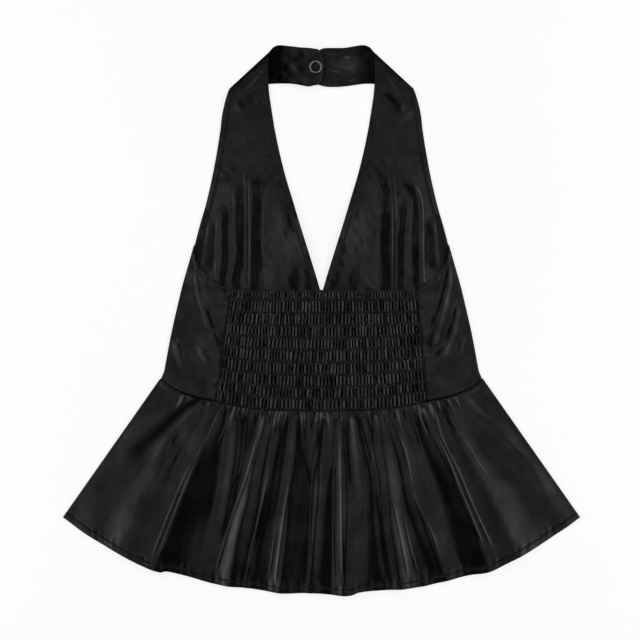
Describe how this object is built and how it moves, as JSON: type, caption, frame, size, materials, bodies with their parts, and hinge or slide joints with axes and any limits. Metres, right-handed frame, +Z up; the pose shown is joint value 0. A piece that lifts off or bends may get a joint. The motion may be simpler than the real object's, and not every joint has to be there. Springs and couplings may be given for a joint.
{
  "type": "halter neck top",
  "caption": "Sleeveless halter neck top in black faux leather with an open V, shirred back, gathered peplum and a ring snap at the nape, laid flat with its back side up.",
  "frame": {"origin": "centre of the bounding box's underside, on the surface that the garment lies on", "axes": "+X to the right of someone looking down at the back, +Y from the hem to the neck, +Z up off the surface"},
  "size_m": [0.5388, 0.5731, 0.0106],
  "materials": {
    "faux_leather": "satin black coated face with a fine grain",
    "faux_leather_inside": "satin black, the inner face of the fronts and straps",
    "snap_steel": "polished nickel-plated ring snap"
  },
  "bodies": {
    "root": {"front_left": "faux_leather_inside", "front_right": "faux_leather_inside", "back_side_left": "faux_leather", "back_side_right": "faux_leather", "back_shirred": "faux_leather", "peplum_back": "faux_leather", "peplum_front": "faux_leather", "snap_ring": "snap_steel", "snap_socket": "snap_steel", "snap_stud": "snap_steel", "snap_back_ring": "snap_steel"}
  },
  "joints": []
}
